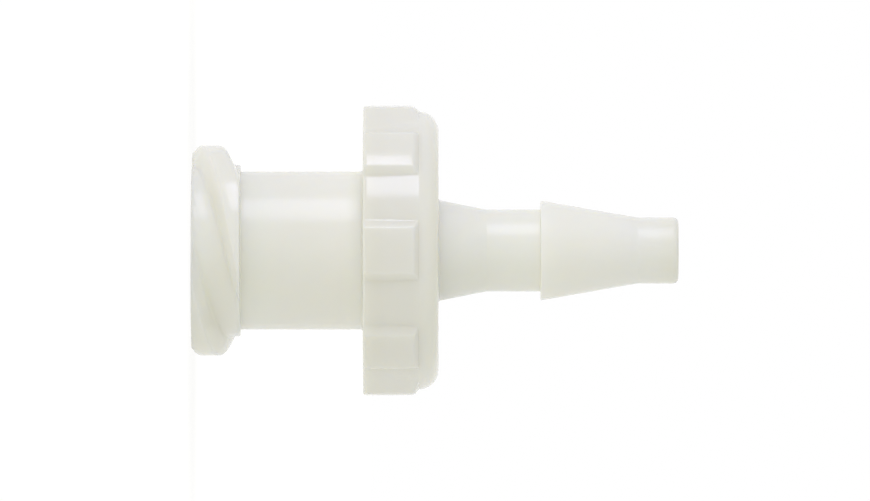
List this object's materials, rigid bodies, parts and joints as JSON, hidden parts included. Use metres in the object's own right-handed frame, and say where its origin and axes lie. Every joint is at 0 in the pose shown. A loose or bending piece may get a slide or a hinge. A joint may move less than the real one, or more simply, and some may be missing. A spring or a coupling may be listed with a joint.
{
  "type": "female luer fitting",
  "caption": "Female luer lock fitting with a two-start thread, a round disc with grip lobes, and a single hose barb for soft tube.",
  "frame": {"origin": "centre of the luer face, which the fitting stands on", "axes": "+Z along the flow path from the luer face to the tip of the barb; the thread crests cross X nearest the luer face, and grip lobes are centred on X and Y"},
  "size_m": [0.0108, 0.0108, 0.0181],
  "materials": {
    "natural_polypropylene": "natural milky polypropylene, injection moulded, satin"
  },
  "bodies": {
    "root": {"luer_barb_fitting": "natural_polypropylene"}
  },
  "joints": []
}
